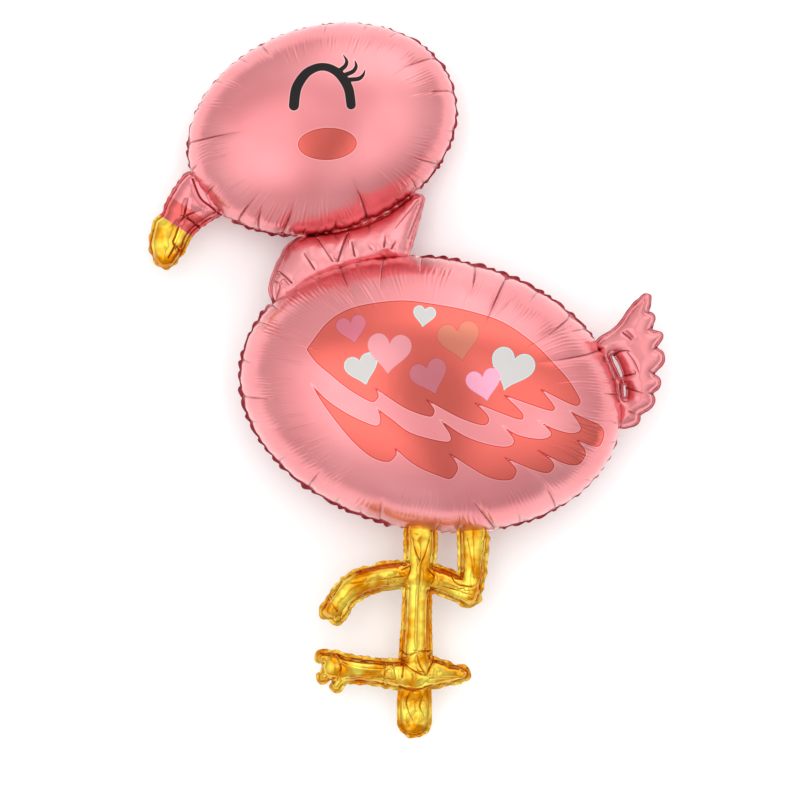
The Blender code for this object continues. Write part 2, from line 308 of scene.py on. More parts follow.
def ovalMesh(look, total):
    # A disc for the upper sheet, rings for the welded edge, and rings closing to a pole under it
    underRows = rowRun(total, fine=0.0022, middle=0.007, coarse=0.016, fineEnd=0.030, ribEnd=look["ribEnd"])
    bm = bmesh.new()
    bmesh.ops.create_grid(bm, x_segments=look["columns"], y_segments=look["rows"], size=1.0)
    for vert in bm.verts:  # the square grid pressed into a disc, with the seam at radius 1
        x, y = vert.co.xy
        vert.co = (x * math.sqrt(1 - y * y / 2), y * math.sqrt(1 - x * x / 2), 1.0)
    edges = [edge for edge in bm.edges if edge.is_boundary]
    size = 1.0
    rings = [(1.0035, 1.0), (1.007, 1.0), (1.01, 0.0), (1.007, -1.0), (1.0035, -1.0)]
    rings += [(1 - row / total, -1.0) for row in underRows[:-1]]
    for nextSize, side in rings:
        ring, edges = grownRing(bm, edges)
        bmesh.ops.scale(bm, verts=ring, vec=(nextSize / size, nextSize / size, 1.0))
        for vert in ring:
            vert.co.z = side
        size = nextSize
    ring, edges = grownRing(bm, edges)
    bmesh.ops.pointmerge(bm, verts=ring, merge_co=(0.0, 0.0, -1.0))
    bmesh.ops.recalc_face_normals(bm, faces=bm.faces)
    return newPiece(look["name"], bm)


def makeOval(look):
    run, share, height = crossSection(look)
    total = run[-1]
    piece = ovalMesh(look, total)
    raw = pointsOf(piece.data)
    reach = np.hypot(raw[:, 0], raw[:, 1])
    angle = np.arctan2(raw[:, 1], raw[:, 0])
    side = raw[:, 2]
    inward = np.clip(1.0 - reach, 0.0, 1.0) * total
    outward = np.clip((reach - 1.0) / 0.01, 0.0, 1.0)
    longHalf = look["length"] / 2 - look["flange"]
    shortHalf = look["width"] / 2 - look["flange"]
    half = look["thickness"] / 2

    turns = np.linspace(-math.pi, math.pi, 4001)
    rim = np.column_stack([longHalf * np.cos(turns), shortHalf * np.sin(turns)])
    rimRun = np.concatenate([[0.0], np.cumsum(np.hypot(*np.diff(rim, axis=0).T))])
    around = rimRun[-1]
    along = np.interp(angle, turns, rimRun)

    part = np.interp(inward, run, share)
    rise = np.interp(inward, run, height)
    step = 1e-4
    slopePart = (np.interp(inward + step, run, share) - np.interp(inward - step, run, share)) / (2 * step)
    slopeRise = (np.interp(inward + step, run, height) - np.interp(inward - step, run, height)) / (2 * step)
    outX = np.cos(angle) * shortHalf
    outY = np.sin(angle) * longHalf
    length = np.hypot(outX, outY)
    outX, outY = outX / length, outY / length
    mean = (longHalf + shortHalf) / 2
    tilt = np.hypot(slopeRise * half, slopePart * mean)
    normalOut = slopeRise * half / tilt
    normalUp = -slopePart * mean / tilt

    under = side < 0
    drawn, nearest, depth = gathers(look, along, around, inward)
    drawnUnder, nearestUnder, depthUnder = gathers({**look, "seed": look["seed"] + 50}, along, around, inward)
    rimPart = 1.0 - fadeIn(inward, 0.0, 0.012)
    drawn = np.where(under, rimPart * drawn + (1.0 - rimPart) * drawnUnder, drawn)
    nearest = np.where(under, nearestUnder, nearest)
    depth = np.where(under, (1.0 - rimPart) * depthUnder, depth)
    bulge = 0.0008 * fadeIn(inward, 0.0, 0.006) * (1.0 - fadeIn(inward, 0.02, 0.06))
    push = (bulge - drawn) * fadeIn(inward, 0.0, 0.0035)
    lift = half * rise
    flat = half * math.sqrt(1 - look["flatShare"] ** foilPower)
    x = longHalf * part * np.cos(angle) + outX * normalOut * push
    y = shortHalf * part * np.sin(angle) + outY * normalOut * push
    z = lift + normalUp * push
    z = np.where(under, -np.minimum(z, flat), z)

    # The welded edge stands out in scallops and ripples up and down
    phase = scallopPhase(look, along, around)
    lobe = np.abs(np.sin(math.pi * phase)) ** 0.7
    spots = np.column_stack(turned(look, x, y)) + look["centre"]
    away = np.minimum.reduce([polylineDistance(spots, join) for join in look["joins"]])
    joined = 1.0 - fadeIn(away, 0.010, 0.020)
    lobe = lobe * (1.0 - 0.6 * joined)
    wide = look["flange"] * (0.30 + 0.70 * lobe)
    wide *= 0.82 + 0.18 * wander(along, around, range(6, 50, 5), look["seed"] + 7)
    facing = np.column_stack(turned(look, outX, outY)) @ look["hidden"]
    wide *= 1.0 - 0.65 * fadeIn(facing, 0.30, 0.90)
    ripple = 0.0022 * np.sin(2 * math.pi * phase + 1.0)
    ripple += 0.0008 * wander(along, around, range(20, 120, 9), look["seed"] + 8)
    onEdge = reach > 1.0 + 1e-9
    x = np.where(onEdge, x + outX * wide * outward, x)
    y = np.where(onEdge, y + outY * wide * outward, y)
    nearSeam = np.exp(-inward / 0.004)
    edgeZ = filmHalf * side + ripple * (0.5 + 0.5 * outward) - 0.0012 * outward
    z = np.where(onEdge, edgeZ, z + 0.5 * ripple * nearSeam)
    seamAway = 0.0007 * np.sin(2 * math.pi * phase) * nearSeam
    x += outX * seamAway
    y += outY * seamAway

    spots = np.column_stack(turned(look, x, y)) + look["centre"]
    z += seamLevel(np.full_like(z, look["centre"][0]), spots[:, 1])
    setPoints(piece, np.column_stack([spots, np.maximum(z, 0.0)]))
    # rim marks the welded edge and the film next to it: the mask for its painted shade
    addValues(piece, "rim", np.where(onEdge, 1.0, np.exp(-inward / 0.0022)) * (1.0 - 0.7 * joined))
    # seal marks the joined stretches of the welded edge, where the painted highlight strip goes
    addValues(piece, "seal", np.where(onEdge, joined, 0.0))
    # pinch marks where creases draw the film in: the mask for painted crease shade
    addValues(piece, "pinch", np.clip(drawn / 0.006, 0, 1) * fadeIn(inward, 0.0, 0.003))
    addValues(piece, "crease", 1000 * nearest)
    addValues(piece, "creaseDepth", depth * fadeIn(inward, 0.0, 0.004))
    addValues(piece, "ribs", ribZone(look, along, around, inward))
    return piece


# Prints, each an attribute that holds the distance to its outline in millimetres, above zero inside

wing = {
    "upper": [
        [(306.5, 349.4), (325.7, 324.2), (344.8, 310.8), (367.7, 304.1), (402, 300.5), (434.4, 304.1), (468.9, 310.8),
         (503.3, 322.3), (533.9, 343.3), (553, 362.4), (568.4, 379.7), (578.9, 396.9), (579.8, 403.6), (572.2, 404.9),
         (540.6, 389.2)],
        [(540.6, 389.2), (551.5, 402), (554.6, 409.3), (545, 409.5), (504.3, 395.3)],
        [(504.3, 395.3), (518, 408), (523.4, 416), (516.7, 418.9), (474.6, 402.6)],
        [(474.6, 402.6), (486, 413), (489, 420.8), (482.3, 425.2), (458, 417), (426.5, 399.7)],
        [(426.5, 399.7), (433.5, 408), (434.1, 413.1), (428.7, 416.5), (405, 408), (375.4, 388.3)],
        [(375.4, 388.3), (378.5, 395), (377.3, 398.8), (370.6, 401.7), (348.6, 389.2), (329.5, 373.9),
         (316.1, 362.4), (306.5, 349.4)],
    ],
    "lower": [
        [(310.7, 383.1), (325.7, 398.8), (344.8, 412.2), (363.9, 421.7), (377.3, 425.6), (380.2, 417.9), (376.9, 408)],
        [(376.9, 408), (392.6, 419.8), (411.7, 433.2), (445.9, 441.8), (450.1, 435.1), (439.6, 419.5)],
        [(439.6, 419.5), (463.1, 435.1), (486.1, 443.7), (507.1, 446.6), (513.8, 439.9), (502, 425.2)],
        [(502, 425.2), (518.6, 435.1), (541.6, 439), (551.1, 433.2), (537.7, 419.8)],
        [(537.7, 419.8), (553, 428.4), (572.2, 433.2), (580.8, 427.5), (569.7, 410.7)],
        [(569.7, 410.7), (583.7, 417.9), (599, 424.6), (604.3, 433.2), (599.9, 445.7), (591.3, 445.7), (577, 439.9)],
        [(577, 439.9), (584.5, 449), (585.2, 456.2), (577.9, 464.8), (562.6, 462.9), (537.4, 449.9)],
        [(537.4, 449.9), (551, 460), (554, 466.7), (547.3, 473), (530.1, 468.6), (504.8, 457.7)],
        [(504.8, 457.7), (515, 467), (516.1, 473.4), (509, 480.1), (486.1, 476.3), (449.7, 453.7)],
        [(449.7, 453.7), (456.5, 463), (457.4, 470.5), (450.7, 478.8), (440, 476.3), (421.3, 468.6), (407.9, 460),
         (394.9, 448.1)],
        [(394.9, 448.1), (396.5, 453), (395.5, 456.2), (387.8, 461.9), (371.6, 457.1), (352.4, 440.9),
         (333.3, 417.9), (319.9, 398.8), (310.7, 383.1)],
    ],
}

# Centre, width and lean of each heart in the photograph, with its colour and whether the film shines through it
hearts = {
    "silverLeft": {"centre": (362.3, 370.6), "width": 33, "lean": 15, "tint": (0.49, 0.47, 0.46), "silver": True},
    "silverRight": {"centre": (510.6, 370.9), "width": 44, "lean": -19, "tint": (0.49, 0.47, 0.46), "silver": True},
    "silverTop": {"centre": (424.0, 317.0), "width": 22.4, "lean": -8, "tint": (0.49, 0.47, 0.46), "silver": True},
    "mauveTop": {"centre": (352.3, 330.5), "width": 31, "lean": 12, "tint": (0.78, 0.20, 0.27)},
    "lightPink": {"centre": (388.9, 355.0), "width": 45, "lean": -4, "tint": (0.86, 0.33, 0.36)},
    "tan": {"centre": (459.7, 342.6), "width": 43, "lean": 10, "tint": (0.66, 0.20, 0.13)},
    "mauve": {"centre": (430.3, 378.6), "width": 38.5, "lean": 18, "tint": (0.66, 0.19, 0.23)},
    "lilac": {"centre": (484.4, 386.2), "width": 35.8, "lean": 11, "tint": (0.94, 0.40, 0.55)},
}

eye = {
    "arch": [(293.9, 105.5, 10.2), (296.5, 88, 10.2), (305, 74.5, 9.2), (314, 68.6, 8.2), (322.3, 66.8, 7.8),
             (331, 68.6, 8.2), (340, 75, 9.0), (348.3, 88, 9.6), (351.1, 104.7, 9.5)],
    "lashes": [
        [(339.0, 70.8, 4.4), (345.2, 66.0, 4.2), (346.6, 60.6, 3.0), (342.8, 54.3, 0.6)],
        [(344.6, 75.0, 4.4), (353.0, 71.4, 4.2), (356.2, 66.0, 3.2), (354.5, 59.7, 0.6)],
        [(348.6, 79.6, 4.2), (358.2, 78.8, 4.2), (363.0, 75.2, 3.0), (365.2, 69.2, 0.6)],
    ],
}
cheek = {"centre": (327.3, 143.9), "halves": (29.4, 16.0), "tilt": 2.0}


def heartOutline(heart):
    turn = np.linspace(0, 2 * math.pi, 48, endpoint=False)
    x = 16 * np.sin(turn) ** 3
    y = 13 * np.cos(turn) - 5 * np.cos(2 * turn) - 2 * np.cos(3 * turn) - np.cos(4 * turn) + 2.5
    y *= 1.06
    size = heart["width"] * metre / 32
    lean = math.radians(heart["lean"])
    middle = fromPhoto(heart["centre"])
    return np.column_stack([
        middle[0] + size * (x * math.cos(lean) - y * math.sin(lean)),
        middle[1] + size * (x * math.sin(lean) + y * math.cos(lean)),
    ])


def printDistances(piece, shapes):
    # Only the upper sheet near a print is measured, and every other point is far outside it
    points = pointsOf(piece.data)
    for name, measure in shapes.items():
        values = np.full(len(points), -20.0)
        upper = points[:, 2] > 0.6 * points[:, 2].max()
        values[upper] = np.clip(-1000 * measure(asSeen(points[upper])), -20.0, 20.0)
        addValues(piece, name, values)


def printWing(piece):
    upper = photoOutline(wing["upper"])
    lower = photoOutline(wing["lower"])
    printDistances(piece, {
        "wing": lambda spots: np.minimum(outlineDistance(spots, upper), outlineDistance(spots, lower)),
    })
    points = pointsOf(piece.data)
    near = np.flatnonzero(points[:, 2] > 0.8 * points[:, 2].max())
    spots = asSeen(points[near])
    edge = np.full(len(spots), 1.0)
    closest = np.full(len(spots), 1.0)
    tint = np.tile((0.6, 0.4, 0.4, 1.0), (len(points), 1))
    silver = np.zeros(len(points))
    distance = np.full(len(points), -20.0)
    for heart in hearts.values():  # later hearts lie over earlier ones
        away = outlineDistance(spots, heartOutline(heart))
        inside = away < 0
        pick = inside | (away < closest)
        closest = np.where(inside, away, np.minimum(closest, away))
        tint[near[pick]] = (*heart["tint"], 1.0)
        silver[near[pick]] = "silver" in heart
        edge = np.minimum(edge, away)
    distance[near] = np.clip(-1000 * edge, -20.0, 20.0)
    addValues(piece, "heart", distance)
    addValues(piece, "silver", silver)
    attribute = piece.data.attributes.new("heartTint", "FLOAT_COLOR", "POINT")
    attribute.data.foreach_set("color", tint.astype(np.float32).ravel())


def printFace(piece):
    arch = photoStroke(eye["arch"])
    lashes = [photoStroke(lash) for lash in eye["lashes"]]
    middle = fromPhoto(cheek["centre"])
    tilt = math.radians(cheek["tilt"])
    halfLong, halfShort = (half * metre for half in cheek["halves"])

    def eyeAway(spots):
        return np.minimum.reduce([strokeDistance(spots, stroke)[0] for stroke in [arch, *lashes]])

    def cheekAway(spots):
        x, y = (spots - middle).T
        along = (x * math.cos(tilt) + y * math.sin(tilt)) / halfLong
        across = (y * math.cos(tilt) - x * math.sin(tilt)) / halfShort
        size = np.hypot(along, across)
        return (size - 1.0) * size / np.maximum(1e-6, np.hypot(along / halfLong, across / halfShort))

    printDistances(piece, {"eye": eyeAway, "cheek": cheekAway})


# Shader maths: a wrapped socket, so that values are written as plain expressions

class Value:
    def __init__(self, tree, socket):
        self.tree = tree
        self.socket = socket

    def maths(self, operation, *others):
        made = self.tree.nodes.new("ShaderNodeMath")
        made.operation = operation
        for place, item in enumerate((self, *others)):
            if isinstance(item, Value):
                self.tree.links.new(item.socket, made.inputs[place])
            else:
                made.inputs[place].default_value = item
        return Value(self.tree, made.outputs[0])

    def __add__(self, other):
        return self.maths("ADD", other)

    def __mul__(self, other):
        return self.maths("MULTIPLY", other)

    def __sub__(self, other):
        return self.maths("SUBTRACT", other)

    def __rsub__(self, other):
        return (self * -1.0) + other

    __radd__ = __add__
    __rmul__ = __mul__

    def step(self, start, end):
        # From 0 at start to 1 at end
        sloped = (self - start) * (1.0 / (end - start))
        return sloped.maths("MAXIMUM", 0.0).maths("MINIMUM", 1.0)

    def wave(self):
        # A round ridge for each whole number, from 0 in the valleys to 1
        return (self * math.pi).maths("SINE").maths("ABSOLUTE")

    def band(self, middle, half, soft):
        return 1.0 - (self - middle).maths("ABSOLUTE").step(half, half + soft)


class Nodes:
    def __init__(self, tree):
        self.tree = tree

    def node(self, kind, settings, inputs):
        made = self.tree.nodes.new(kind)
        for name, setting in settings.items():
            setattr(made, name, setting)
        for name, item in inputs.items():
            self.feed(made.inputs[name], item)
        return made

    def feed(self, socket, item):
        if isinstance(item, Value):
            item = item.socket
        if isinstance(item, bpy.types.NodeSocket):
            self.tree.links.new(item, socket)
        else:
            socket.default_value = item


class Finish(Nodes):
    def __init__(self, name):
        self.material = bpy.data.materials.new(name)
        self.material.use_nodes = True
        super().__init__(self.material.node_tree)
        self.shader = self.tree.nodes["Principled BSDF"]
        self.place = self.node("ShaderNodeTexCoord", {}, {}).outputs["Object"]

    def attribute(self, name):
        return Value(self.tree, self.node("ShaderNodeAttribute", {"attribute_name": name}, {}).outputs["Fac"])

    def colourAttribute(self, name):
        return self.node("ShaderNodeAttribute", {"attribute_name": name}, {}).outputs["Color"]

    def noise(self, scale, detail=2.0, distortion=0.0):
        inputs = {"Vector": self.place, "Scale": scale, "Detail": detail, "Distortion": distortion}
        return Value(self.tree, self.node("ShaderNodeTexNoise", {}, inputs).outputs["Fac"])

    def turnAbout(self, look):
        # The turn round an oval's middle, from -0.5 to 0.5, even along its outline as near as an ellipse allows
        split = self.node("ShaderNodeSeparateXYZ", {}, {"Vector": self.place})
        x, y = (Value(self.tree, socket) for socket in split.outputs[:2])
        x = x - look["centre"][0]
        y = y - look["centre"][1]
        tilt = math.radians(look["tilt"])
        along = (x * math.cos(tilt) + y * math.sin(tilt)) * (1 / look["length"])
        across = (y * math.cos(tilt) - x * math.sin(tilt)) * (1 / look["width"])
        return across.maths("ARCTAN2", along) * (0.5 / math.pi)

    def mix(self, share, first, second, blend="MIX"):
        made = self.node("ShaderNodeMix", {"data_type": "RGBA", "blend_type": blend}, {})
        for socket, item in ((made.inputs[0], share), (made.inputs[6], first), (made.inputs[7], second)):
            self.feed(socket, (*item, 1.0) if isinstance(item, tuple) else item)
        return made.outputs[2]

    def bump(self, height, distance):
        inputs = {"Height": height, "Distance": distance, "Strength": 1.0}
        return self.node("ShaderNodeBump", {}, inputs).outputs["Normal"]

    def set(self, **inputs):
        for name, item in inputs.items():
            socket = self.shader.inputs[name.replace("_", " ")]
            self.feed(socket, (*item, 1.0) if isinstance(item, tuple) else item)
        return self.material


pinkLook = {
    # deep is painted shade in the pinched creases and beside the seams, seam is painted shade on the welded edge, fold
    # is a painted shade line along the creases
    "base": (0.80, 0.25, 0.27), "light": (0.87, 0.31, 0.33), "deep": (0.52, 0.075, 0.085),
    "seam": (0.26, 0.008, 0.018), "rough": 0.28, "inkRough": 0.14,
    "coral": (0.79, 0.130, 0.102), "coralEdge": (0.58, 0.02, 0.025), "pale": (0.92, 0.52, 0.50),
    # The pale seal colour on this line is a painted highlight on the joined welded edge
    "cyan": (0.34, 0.70, 0.66), "sealHighlight": (0.96, 0.66, 0.66), "black": (0.012, 0.010, 0.010),
    "paleLine": (0.85, 0.62, 0.62), "fold": (0.44, 0.045, 0.055), "foldDepth": 2.0, "blotch": 9.0, "coat": 0.6,
    "crinkle": 0.03, "crinkleScale": 60.0, "pinched": 0.40, "patches": 0.0,
}
goldLook = {
    # deep is painted shade in the pinched creases and beside the seams, seam is painted shade on the welded edge, fold
    # is a painted shade line along the creases
    "base": (0.74, 0.27, 0.003), "light": (0.99, 0.80, 0.11), "deep": (0.34, 0.055, 0.001),
    "seam": (0.76, 0.23, 0.006), "rough": 0.10, "fold": (0.44, 0.09, 0.002), "foldDepth": 1.4, "blotch": 42.0,
    "coat": 0.0, "crinkle": 0.02, "crinkleScale": 110.0, "pinched": 0.6, "patches": 1.0,
}


def lacquered(finish, look, share=1.0):
    # A clear coat everywhere but on the welded edge, for a film that has one
    if not look["coat"]:
        return {}
    weight = share * (1.0 - finish.attribute("rim").step(0.1, 0.5)) * look["coat"]
    return {"Coat_Weight": weight, "Coat_Roughness": 0.10}


def foilBase(finish, look):
    # Film colour with slow changes over the surface, with painted shade in the pinched creases and along the weld
    slow = finish.noise(look["blotch"], 2.0).step(0.36, 0.64)
    colour = finish.mix(slow, look["base"], look["light"])
    # Painted shade: the deep colour where the film is pinched
    colour = finish.mix(finish.attribute("pinch") * look["pinched"], colour, look["deep"])
    # Painted shade on the welded edge: the seam colour where rim is high, broken into patches where patches is set
    patch = finish.noise(75.0, 2.0).step(0.42, 0.58) * look["patches"] + (1.0 - look["patches"])
    return finish.mix(finish.attribute("rim").step(0.25, 0.9) * patch * 0.9, colour, look["seam"])


def creased(finish, look, colour, ripples=0.0):
    # Sharp folds along the measured creases: a painted shade line along each, in the fold colour, and their relief in
    # millimetres
    off = finish.attribute("crease").maths("ABSOLUTE")
    depth = finish.attribute("creaseDepth")
    height = (1.0 - off.step(0.0, 1.5)) * depth * -look["foldDepth"]
    if ripples:
        height = height - (off * 0.45).wave() * (1.0 - off.step(2.0, 6.0)) * depth * ripples
    # Painted shade: the fold colour in a thin line along each crease
    return finish.mix((1.0 - off.step(0.2, 0.9)) * depth.step(0.0, 0.8) * 0.75, colour, look["fold"]), height


def foilSurface(finish, look):
    crinkle = finish.node("ShaderNodeTexVoronoi", {}, {"Vector": finish.place, "Scale": look["crinkleScale"]})
    flaw = Value(finish.tree, crinkle.outputs["Distance"]) * (finish.attribute("rim").step(0.1, 0.5) * 12.0 + 1.0)
    return flaw * look["crinkle"] + finish.noise(60.0, 1.0) * 0.06


def ovalFoil(finish, look, oval, colour):
    # The fine ribs between rim and middle, the sharp creases, and a painted highlight strip along the seal beside
    # joined chambers
    ribbed = finish.turnAbout(oval) * oval["ribCount"] + finish.noise(7.0, 1.0) * 7.0
    colour, folds = creased(finish, look, colour, 0.25)
    ribs = finish.attribute("ribs") * ribbed.wave() * (1000 * oval["ribDepth"])
    height = ribs + folds + finish.noise(60.0, 2.0) * 0.06
    # Painted highlight: broken pale strips on the welded edge where it joins another chamber
    strip = finish.attribute("seal").step(0.4, 0.9) * finish.noise(120.0, 1.0).step(0.38, 0.55)
    return finish.mix(strip, colour, look["sealHighlight"]), finish.bump(height, 0.001)


def bodyFoil():
    finish = Finish("pinkFoilWing")
    look = pinkLook
    colour = foilBase(finish, look)
    wingAway = finish.attribute("wing")
    inWing = wingAway.step(-0.25, 0.25)
    colour = finish.mix(wingAway.band(-0.8, 0.4, 0.4) * 0.42, colour, look["pale"])
    colour = finish.mix(inWing, colour, look["coral"])
    colour = finish.mix(wingAway.band(0.5, 0.4, 0.4) * 0.9, colour, look["coralEdge"])
    heartAway = finish.attribute("heart")
    inHeart = heartAway.step(-0.2, 0.2)
    colour = finish.mix(inHeart, colour, finish.colourAttribute("heartTint"))
    silver = finish.attribute("silver").step(0.4, 0.6)
    line = finish.mix(silver, look["coralEdge"], look["cyan"])
    colour = finish.mix(heartAway.band(0.25, 0.35, 0.4) * (0.45 + silver * 0.45), colour, line)
    colour, normal = ovalFoil(finish, look, body, colour)
    rough = look["rough"] + inWing * (look["inkRough"] - look["rough"]) + inHeart * 0.06
    return finish.set(Base_Color=colour, Metallic=1.0 - inHeart * silver, Roughness=rough, Normal=normal,
                      **lacquered(finish, look))


def headFoil():
    finish = Finish("pinkFoilFace")
    look = pinkLook
    colour = foilBase(finish, look)
    cheekAway = finish.attribute("cheek")
    colour = finish.mix(cheekAway.band(-0.8, 0.4, 0.4) * 0.42, colour, look["pale"])
    inCheek = cheekAway.step(-0.25, 0.25)
    colour = finish.mix(inCheek, colour, look["coral"])
    colour = finish.mix(cheekAway.band(0.5, 0.3, 0.4) * 0.8, colour, look["coralEdge"])
    eyeAway = finish.attribute("eye")
    colour = finish.mix(eyeAway.band(-0.6, 0.25, 0.4) * 0.5, colour, look["paleLine"])
    inEye = eyeAway.step(-0.25, 0.25)
    colour = finish.mix(inEye, colour, look["black"])
    colour, normal = ovalFoil(finish, look, head, colour)
    rough = look["rough"] + inCheek * (look["inkRough"] - look["rough"])
    return finish.set(Base_Color=colour, Metallic=1.0 - inEye, Roughness=rough, Normal=normal,
                      Specular_IOR_Level=0.15, **lacquered(finish, look, 1.0 - inEye))


def plainFoil(name, look):
    finish = Finish(name)
    colour, folds = creased(finish, look, foilBase(finish, look))
    normal = finish.bump(foilSurface(finish, look) + folds, 0.001)
    return finish.set(Base_Color=colour, Metallic=1.0, Roughness=look["rough"], Normal=normal,
                      **lacquered(finish, look))


# The small chambers: a flat grid trimmed to each outline, doubled, and blown up as cloth with its seam held

def speckle(spots, size, seed, waves=14):
    # Smooth random heights over the plane, from about -1 to 1, with bumps of that size
    random = np.random.RandomState(seed)
    total = np.zeros(len(spots))
    for _ in range(waves):
        heading = random.uniform(0, 2 * math.pi)
        pace = 2 * math.pi / (size * random.uniform(0.7, 1.6))
        along = spots[:, 0] * math.cos(heading) + spots[:, 1] * math.sin(heading)
        total += np.cos(pace * along + random.uniform(0, 6.3))
    return total / math.sqrt(waves / 2) / 1.6


def slopeOf(away, spots):
    step = 2e-4
    ahead = away(spots + (step, 0.0)) - away(spots - (step, 0.0))
    aside = away(spots + (0.0, step)) - away(spots - (0.0, step))
    slope = np.column_stack([ahead, aside])
    return slope / np.maximum(1e-9, np.hypot(*slope.T))[:, None]


def uneven(look, spots):
    # How uneven the welded edge is, less along the lines where the photograph shows it straight
    if "calm" not in look:
        return 1.0
    nearest = np.minimum.reduce([polylineDistance(spots, line) for line in look["calm"]])
    return 0.15 + 0.85 * fadeIn(nearest, 3 * metre, 11 * metre)


def makeSheet(look, away, rise):
    # away is the distance to the seam, below zero inside, and rise the height of the upper sheet
    cell = look["cell"]
    (left, top), (right, bottom) = (fromPhoto(corner) for corner in look["corners"])
    bm = bmesh.new()
    columns = round((right - left) / cell)
    rows = round((top - bottom) / cell)
    bmesh.ops.create_grid(bm, x_segments=columns, y_segments=rows, size=0.5)
    bmesh.ops.scale(bm, verts=bm.verts, vec=(right - left, top - bottom, 1.0))
    bmesh.ops.translate(bm, verts=bm.verts, vec=((left + right) / 2, (top + bottom) / 2, 0.0))
    middles = np.array([face.calc_center_bounds()[:2] for face in bm.faces])
    outside = away(middles) > -0.35 * cell
    bmesh.ops.delete(bm, geom=[face for face, out in zip(bm.faces, outside) if out], context="FACES")
    for _ in range(3):
        rim = [vert for vert in bm.verts if vert.is_boundary]
        spots = np.array([vert.co.xy for vert in rim])
        moves = slopeOf(away, spots) * away(spots)[:, None]
        for vert, (x, y) in zip(rim, moves):
            vert.co.x -= x
            vert.co.y -= y
        inner = [vert for vert in bm.verts if not vert.is_boundary]
        bmesh.ops.smooth_vert(bm, verts=inner, factor=0.5, use_axis_x=True, use_axis_y=True)
    edges = [edge for edge in bm.edges if edge.is_boundary]
    for part in (0.5, 0.5):
        ring, edges = grownRing(bm, edges)
        spots = np.array([vert.co.xy for vert in ring])
        ragged = look["ragged"] * uneven(look, spots) * speckle(spots, look["lobe"], look["seed"])
        wide = look["flange"] * part * (0.85 + ragged)
        for notch in look.get("notches", ()):
            wide *= 1.0 - 0.8 * np.exp(-((np.hypot(*(spots - fromPhoto(notch)).T) / (3.6 * metre)) ** 2))
        moves = slopeOf(away, spots) * wide[:, None]
        for vert, (x, y) in zip(ring, moves):
            vert.co.x += x
            vert.co.y += y
    outer = set(ring)
    spots = np.array([vert.co.xy for vert in bm.verts])
    heights = np.maximum(rise(spots), filmHalf)
    for vert, height in zip(bm.verts, heights):
        vert.co.z = 0.0 if vert in outer else height
    everything = bm.verts[:] + bm.edges[:] + bm.faces[:]
    bmesh.ops.mirror(bm, geom=everything, matrix=Matrix.Identity(4), merge_dist=1e-6, axis="Z")
    bmesh.ops.recalc_face_normals(bm, faces=bm.faces)
    return newPiece(look["name"], bm)


blowing = {"stiff": 80.0, "bending": 1.5, "pressure": 8.0, "quality": 6, "frames": 22}


def blowUp(piece, held, slack):
    group = piece.vertex_groups.new(name="held")
    group.add([int(index) for index in np.flatnonzero(held)], 1.0, "REPLACE")
    cloth = piece.modifiers.new("blow", "CLOTH")
    settings = cloth.settings
    settings.quality = blowing["quality"]
    settings.mass = 0.1
    settings.tension_stiffness = settings.compression_stiffness = blowing["stiff"]
    settings.shear_stiffness = blowing["stiff"] / 2
    settings.bending_stiffness = blowing["bending"]
    settings.use_pressure = True
    settings.uniform_pressure_force = blowing["pressure"]
    settings.shrink_min = -slack
    settings.vertex_group_mass = "held"
    settings.effector_weights.gravity = 0.0
    cloth.point_cache.frame_start = 1
    cloth.point_cache.frame_end = blowing["frames"]
    scene = bpy.context.scene
    for number in range(1, blowing["frames"] + 1):
        scene.frame_set(number)
    graph = bpy.context.evaluated_depsgraph_get()
    blown = pointsOf(piece.evaluated_get(graph).data)
    piece.modifiers.remove(cloth)
    piece.vertex_groups.remove(group)
    scene.frame_set(1)
    return blown


def creaseField(spots, creases):
    # Signed distance to the nearest crease, up to 12 mm, and how deep that crease is there, from 0 to 1
    nearest = np.full(len(spots), 0.012)
    depth = np.zeros(len(spots))
    for crease in creases:
        path = smoothPath(crease, 6)
        corners = [np.array(fromPhoto(spot)) for spot in path]
        last = len(corners) - 2
        for place, (start, end) in enumerate(zip(corners, corners[1:])):
            run = end - start
            length = np.hypot(*run)
            share, away = segmentParts(spots, start, end)
            along = (spots - start) @ run / length
            beyond = np.maximum(-along if place == 0 else 0.0, along - length if place == last else 0.0)
            across = (spots[:, 1] - start[1]) * run[0] - (spots[:, 0] - start[0]) * run[1]
            closer = away < np.abs(nearest)
            nearest = np.where(closer, np.where(across < 0, -away, away), nearest)
            deep = path[place, 2] + (path[place + 1, 2] - path[place, 2]) * share
            depth = np.where(closer, deep * (1.0 - fadeIn(beyond, 0.0, 0.0015)), depth)
    return nearest, depth * (1.0 - fadeIn(np.abs(nearest), 0.0030, 0.0060))


